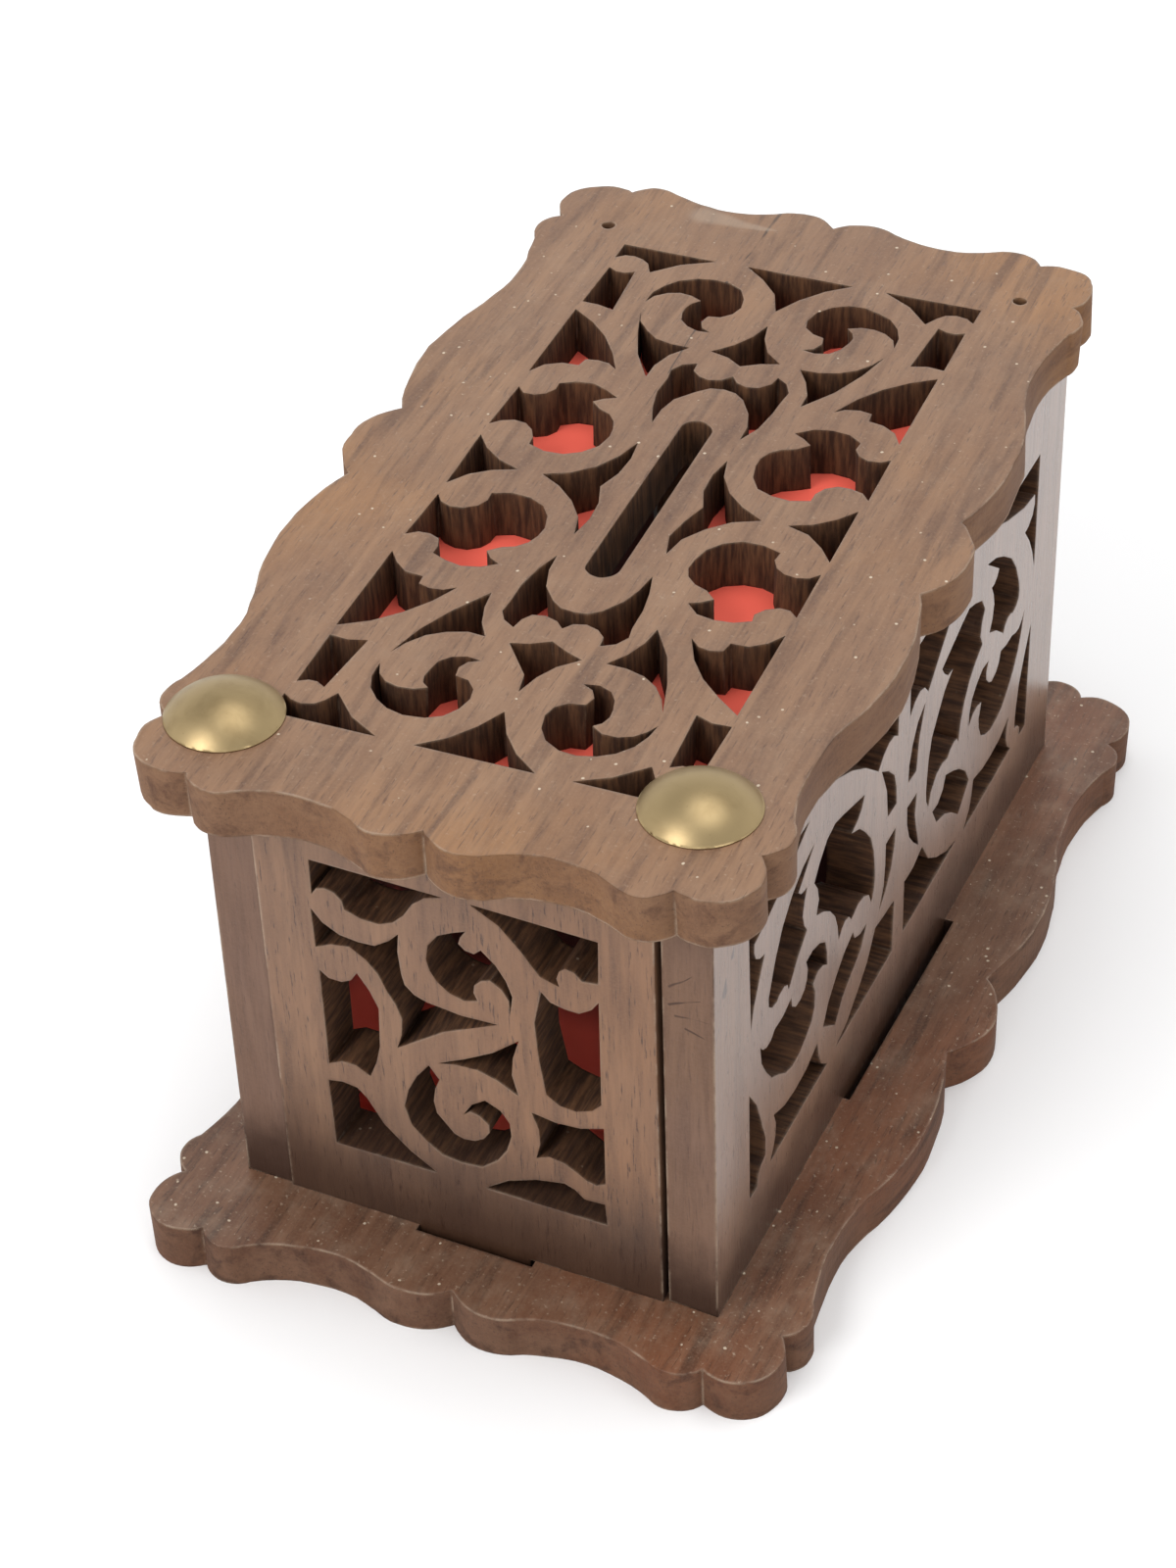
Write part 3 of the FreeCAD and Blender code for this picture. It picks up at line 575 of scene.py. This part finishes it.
def waver(node, flat_axis, reach, length):
    """Lets a board's sawn outline waver in its own plane, as a hand-held saw leaves it: once
    along one diagonal of the plane, and once, slower, along the other."""
    first, second = (axis for axis in range(3) if axis != flat_axis)
    for turn in (0, 1):
        texture = bpy.data.textures.new(f"{node} saw {turn}", "CLOUDS")
        texture.noise_scale = length * (SLOWER_WAVER if turn else 1)
        texture.use_color_ramp = True
        ends = texture.color_ramp.elements
        for end, value in ((ends[0], 0), (ends[1], 1)):
            push = [0.5, 0.5, 0.5]
            push[first] = value
            push[second] = 1 - value if turn else value
            end.color = (*push, 1)
        displace = NODES[node].modifiers.new(f"saw {turn}", "DISPLACE")
        displace.texture = texture
        displace.texture_coords = "LOCAL"
        displace.direction = "RGB_TO_XYZ"
        displace.mid_level = 0.5
        displace.strength = reach


for node, flat_axis, reach, length in SAWN_BOARDS:
    waver(node, flat_axis, reach * MM, length * MM)


# Dome nails: the brass caps, smooth where the frame's are turned in rings

DOME_STEPS = 96
RIM_LIFT = 0.05 * MM
RIM_ROUNDING = 0.22 * MM
RIM_CORNER = math.radians(25)


def deselect():
    bpy.ops.object.select_all(action="DESELECT")


def smooth_dome(hand):
    """A cap's dome: a sphere cut off just above the lid, closed there, with a rounded rim."""
    low, high = (Vector(corner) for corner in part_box(f"{hand}_nail_cap"))
    middle = (low + high) / 2
    rim = (high.x - low.x) / 2
    rise = high.z - low.z
    sphere = (rim * rim + rise * rise) / (2 * rise)
    deselect()
    bpy.ops.mesh.primitive_uv_sphere_add(
        segments=DOME_STEPS, ring_count=DOME_STEPS, radius=sphere,
        location=(middle.x, middle.y, high.z - sphere))
    dome = bpy.context.object
    dome.name = f"{hand}_nail_dome"
    bpy.ops.object.transform_apply(location=True, rotation=True, scale=True)
    bpy.ops.object.mode_set(mode="EDIT")
    bpy.ops.mesh.select_all(action="SELECT")
    bpy.ops.mesh.bisect(
        plane_co=(middle.x, middle.y, low.z + RIM_LIFT), plane_no=(0, 0, 1), clear_inner=True,
        use_fill=True)
    bpy.ops.mesh.select_all(action="SELECT")
    bpy.ops.mesh.normals_make_consistent(inside=False)
    bpy.ops.object.mode_set(mode="OBJECT")
    bevel = dome.modifiers.new("rolled rim", "BEVEL")
    bevel.width = RIM_ROUNDING
    bevel.segments = 3
    bevel.limit_method = "ANGLE"
    bevel.angle_limit = RIM_CORNER
    bpy.ops.object.modifier_apply(modifier=bevel.name)
    bpy.ops.object.shade_smooth()
    dome.data.materials.append(cap_brass)
    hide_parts(f"{hand}_nail_cap")
    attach(dome, f"{hand}_nail")


for hand in ("left", "right"):
    smooth_dome(hand)


# Table, backdrop and light

def lay_table():
    deselect()
    bpy.ops.mesh.primitive_plane_add(size=TABLE_SIZE, location=(0, 0, 0))
    table = bpy.context.object
    table.name = "table"
    bpy.ops.object.transform_apply(location=True, rotation=True, scale=True)
    material, _, shader, _ = new_material("pale table")
    shader.inputs["Base Color"].default_value = TABLE_PALE
    shader.inputs["Roughness"].default_value = TABLE_ROUGH
    table.data.materials.append(material)


def hang_lamp(name, place, size, watts):
    """A round soft lamp that shines on the box."""
    data = bpy.data.lights.new(name, "AREA")
    data.shape = "DISK"
    data.size = size
    data.energy = watts
    lamp = bpy.data.objects.new(name, data)
    bpy.context.scene.collection.objects.link(lamp)
    lamp.location = place
    lamp.rotation_euler = (LAMP_AIM - place).to_track_quat("-Z", "Y").to_euler()


def light_room():
    """A white room, dimmer overhead, which the camera sees as a white backdrop."""
    studio = bpy.data.worlds.new("studio")
    bpy.context.scene.world = studio
    studio.use_nodes = True
    studio.node_tree.nodes.clear()
    g = Graph(studio.node_tree)
    up = g.node("SeparateXYZ", {"Vector": g.node("TexCoord").outputs["Generated"]}).outputs["Z"]
    dimmed = g.math("MULTIPLY", g.ramp(up, DIM_FROM, DIM_TO), ROOM_LIGHT - OVERHEAD_LIGHT)
    room = g.node("Background", {"Color": WHITE})
    g.feed(room.inputs["Strength"], g.math("SUBTRACT", ROOM_LIGHT, dimmed))
    backdrop = g.node("Background", {"Color": WHITE, "Strength": 1.0})
    mixed = g.node("MixShader")
    g.feed(mixed.inputs[0], g.node("LightPath").outputs["Is Camera Ray"])
    g.feed(mixed.inputs[1], room.outputs[0])
    g.feed(mixed.inputs[2], backdrop.outputs[0])
    out = g.node("OutputWorld")
    g.feed(out.inputs["Surface"], mixed.outputs[0])


lay_table()
light_room()
hang_lamp("window", **WINDOW_LAMP)
hang_lamp("ceiling", **CEILING_LAMP)

camera_data = bpy.data.cameras.new("camera")
camera_data.lens = CAMERA_LENS
camera_data.sensor_fit = "AUTO"
camera_data.sensor_width = CAMERA_SENSOR
camera_data.clip_start = CAMERA_NEAR
camera = bpy.data.objects.new("camera", camera_data)
bpy.context.scene.collection.objects.link(camera)
camera.location = CAMERA_PLACE
camera.rotation_euler = CAMERA_TURN
bpy.context.scene.camera = camera
bpy.context.scene.view_settings.view_transform = "Standard"
